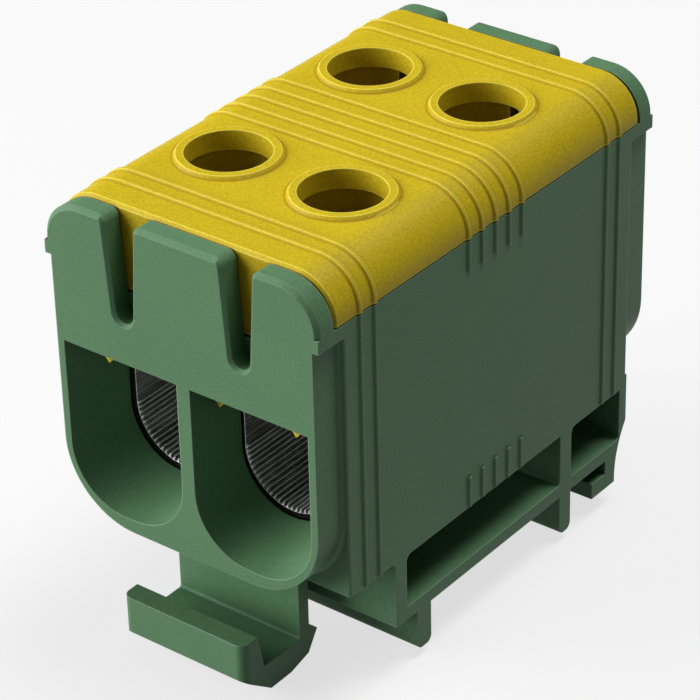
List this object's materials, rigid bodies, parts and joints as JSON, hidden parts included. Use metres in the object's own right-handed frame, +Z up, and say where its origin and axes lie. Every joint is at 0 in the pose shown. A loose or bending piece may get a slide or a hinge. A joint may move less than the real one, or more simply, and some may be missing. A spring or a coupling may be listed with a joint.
{
  "type": "din rail power terminal",
  "caption": "Insulated screw-clamp power terminal with round-footed wire funnels at both ends, a ribbed cover and a sprung latch for a top-hat rail.",
  "frame": {"origin": "on the rail seat, in the middle of the 35 mm rail and of the terminal's width", "axes": "+Z up from the rail, Y along the wires with the sprung latch at -Y, X along the rail"},
  "size_m": [0.0304, 0.0519, 0.0445],
  "materials": {
    "green_plastic": "fine satin grain, muted green",
    "yellow_plastic": "fine satin grain, warm yellow",
    "block_metal": "tin-plated extrusion with fine grooves in the bores",
    "screw_steel": "plated steel"
  },
  "bodies": {
    "terminal": {"housing": "green_plastic", "cover": "yellow_plastic", "terminal_block": "block_metal"},
    "latch": {"rail_latch": "green_plastic"},
    "screw_front_left": {"clamp_screw_front_left": "screw_steel"},
    "screw_front_right": {"clamp_screw_front_right": "screw_steel"},
    "screw_back_left": {"clamp_screw_back_left": "screw_steel"},
    "screw_back_right": {"clamp_screw_back_right": "screw_steel"}
  },
  "joints": [
    {"name": "latch_flex", "type": "hinge", "parent": "terminal", "child": "latch", "pos_m": [0, -0.01833, 0.0076], "axis": [-1, 0, 0], "range_deg": [0, 8], "stiffness_Nm_per_rad": 1.8},
    {"name": "clamp_front_left", "type": "slide", "parent": "terminal", "child": "screw_front_left", "axis": [0, 0, -1], "range_m": [0, 0.006]},
    {"name": "clamp_front_right", "type": "slide", "parent": "terminal", "child": "screw_front_right", "axis": [0, 0, -1], "range_m": [0, 0.006]},
    {"name": "clamp_back_left", "type": "slide", "parent": "terminal", "child": "screw_back_left", "axis": [0, 0, -1], "range_m": [0, 0.006]},
    {"name": "clamp_back_right", "type": "slide", "parent": "terminal", "child": "screw_back_right", "axis": [0, 0, -1], "range_m": [0, 0.006]}
  ]
}
